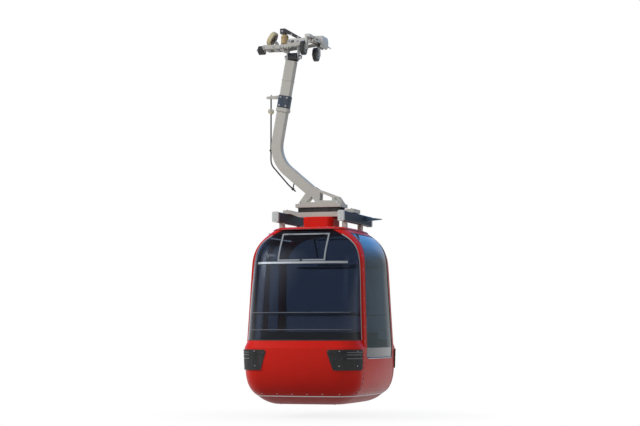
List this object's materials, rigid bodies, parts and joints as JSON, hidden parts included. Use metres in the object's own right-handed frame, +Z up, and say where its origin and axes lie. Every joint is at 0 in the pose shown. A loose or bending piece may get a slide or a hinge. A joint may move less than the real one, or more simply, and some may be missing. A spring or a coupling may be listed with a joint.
{
  "type": "gondola lift cabin",
  "caption": "Enclosed gondola lift cabin with wrap-round windows and double outboard doors, on a bent hanger arm with a detachable rope grip.",
  "frame": {"origin": "centre of the rope in the closed jaws of the grip", "axes": "+Y along the rope, +Z up, +X towards the inboard side; the doors are on the -X side"},
  "size_m": [1.561, 2.0038, 4.542],
  "materials": {
    "red_shell": "gloss",
    "red_trim": "gloss",
    "tinted_pane": "clear tinted acrylic",
    "bumper_rubber": "matt",
    "floor_shell": "satin",
    "vent_frame": "satin",
    "roof_shell": "gloss",
    "rail_dark": "gloss",
    "cap_light": "satin",
    "galvanised": "galvanised matt",
    "damper_rubber": "matt",
    "bench_shell": "grained",
    "cushion_cloth": "woven",
    "handrail_steel": "brushed",
    "door_gear": "satin",
    "cast_grip": "galvanised casting",
    "black_casting": "painted black",
    "pin_steel": "machined",
    "housing_tan": "satin",
    "wheel_rubber": "matt",
    "cream_polymer": "cast",
    "lever_steel": "galvanised",
    "jaw_steel": "machined"
  },
  "bodies": {
    "grip": {"grip_head": "cast_grip", "grip_carrier": "cast_grip", "hanger_pin": "pin_steel", "spring_arm": "black_casting", "spring_housing": "housing_tan", "rope_guides": "galvanised"},
    "grip_lever": {"moving_jaw": "jaw_steel", "lever_bars": "lever_steel", "lever_pins": "pin_steel", "spring_rod": "pin_steel"},
    "lever_roller": {"lever_roller": "wheel_rubber"},
    "guide_roller": {"guide_roller": "cream_polymer"},
    "running_wheel_front": {"running_wheel_front": "wheel_rubber"},
    "running_wheel_rear": {"running_wheel_rear": "wheel_rubber"},
    "door_arm_upper_front": {"door_arm_upper_front": "door_gear"},
    "door_leaf_front": {"door_leaf_front": "red_shell", "door_pane_front": "tinted_pane", "door_leaf_brackets_front": "door_gear"},
    "door_arm_lower_front": {"door_arm_lower_front": "door_gear"},
    "door_arm_upper_rear": {"door_arm_upper_rear": "door_gear"},
    "door_leaf_rear": {"door_leaf_rear": "red_shell", "door_pane_rear": "tinted_pane", "door_leaf_brackets_rear": "door_gear"},
    "door_arm_lower_rear": {"door_arm_lower_rear": "door_gear"},
    "cabin": {"floor_pan": "floor_shell", "lower_panels_end": "red_shell", "lower_panel_inboard": "red_shell", "lower_panel_outboard": "red_shell", "waist_ledges": "red_trim", "side_hoops": "red_shell", "window_inboard": "tinted_pane", "end_windows": "tinted_pane", "vent_frames": "vent_frame", "vent_panes": "tinted_pane", "roof_cap": "roof_shell", "roof_hump": "roof_shell", "roof_rails": "rail_dark", "rail_caps": "cap_light", "rail_feet": "galvanised", "rail_fin": "rail_dark", "cross_beam": "galvanised", "dampers": "damper_rubber", "hanger_foot": "galvanised", "hanger_arm": "galvanised", "hanger_hub": "galvanised", "control_bracket": "galvanised", "control_roller": "cream_polymer", "control_rod": "door_gear", "corner_bumpers": "bumper_rubber", "benches": "bench_shell", "seat_cushions": "cushion_cloth", "back_cushions": "cushion_cloth", "handrails": "handrail_steel", "door_jamb_brackets": "door_gear"}
  },
  "joints": [
    {"name": "hanger_swing", "type": "hinge", "parent": "grip", "child": "cabin", "pos_m": [-0.362, 0, -0.125], "axis": [1, 0, 0], "range_deg": [-30, 30]},
    {"name": "grip_lever_turn", "type": "hinge", "parent": "grip", "child": "grip_lever", "pos_m": [-0.074, 0, 0.038], "axis": [0, 1, 0], "range_deg": [0, 7]},
    {"name": "lever_roller_spin", "type": "hinge", "parent": "grip_lever", "child": "lever_roller", "pos_m": [-0.767, 0, -0.018], "axis": [1, 0, 0], "continuous": true},
    {"name": "guide_roller_spin", "type": "hinge", "parent": "grip_lever", "child": "guide_roller", "pos_m": [-0.633, 0, 0.116], "axis": [0.8572, 0, -0.515], "continuous": true},
    {"name": "running_wheel_front_spin", "type": "hinge", "parent": "grip", "child": "running_wheel_front", "pos_m": [-0.15, -0.25, -0.06], "axis": [1, 0, 0], "continuous": true},
    {"name": "running_wheel_rear_spin", "type": "hinge", "parent": "grip", "child": "running_wheel_rear", "pos_m": [-0.15, 0.25, -0.06], "axis": [1, 0, 0], "continuous": true},
    {"name": "door_swing_front", "type": "hinge", "parent": "cabin", "child": "door_arm_upper_front", "pos_m": [-0.62, -0.446, -2.61], "axis": [0, 0, 1], "range_deg": [0, 135]},
    {"name": "door_leaf_turn_front", "type": "hinge", "parent": "door_arm_upper_front", "child": "door_leaf_front", "pos_m": [-0.62, -0.196, -2.61], "axis": [0, 0, 1], "range_deg": [-135, 0]},
    {"name": "door_lower_swing_front", "type": "hinge", "parent": "cabin", "child": "door_arm_lower_front", "pos_m": [-0.65, -0.508, -3.75], "axis": [0, 0, 1], "range_deg": [0, 135]},
    {"name": "door_swing_rear", "type": "hinge", "parent": "cabin", "child": "door_arm_upper_rear", "pos_m": [-0.62, 0.446, -2.61], "axis": [0, 0, 1], "range_deg": [-135, 0]},
    {"name": "door_leaf_turn_rear", "type": "hinge", "parent": "door_arm_upper_rear", "child": "door_leaf_rear", "pos_m": [-0.62, 0.196, -2.61], "axis": [0, 0, 1], "range_deg": [0, 135]},
    {"name": "door_lower_swing_rear", "type": "hinge", "parent": "cabin", "child": "door_arm_lower_rear", "pos_m": [-0.65, 0.508, -3.75], "axis": [0, 0, 1], "range_deg": [-135, 0]}
  ],
  "couplings": [
    {"joint": "door_leaf_turn_front", "follows": "door_swing_front", "ratio": -1},
    {"joint": "door_lower_swing_front", "follows": "door_swing_front", "ratio": 1},
    {"joint": "door_leaf_turn_rear", "follows": "door_swing_rear", "ratio": -1},
    {"joint": "door_lower_swing_rear", "follows": "door_swing_rear", "ratio": 1}
  ]
}
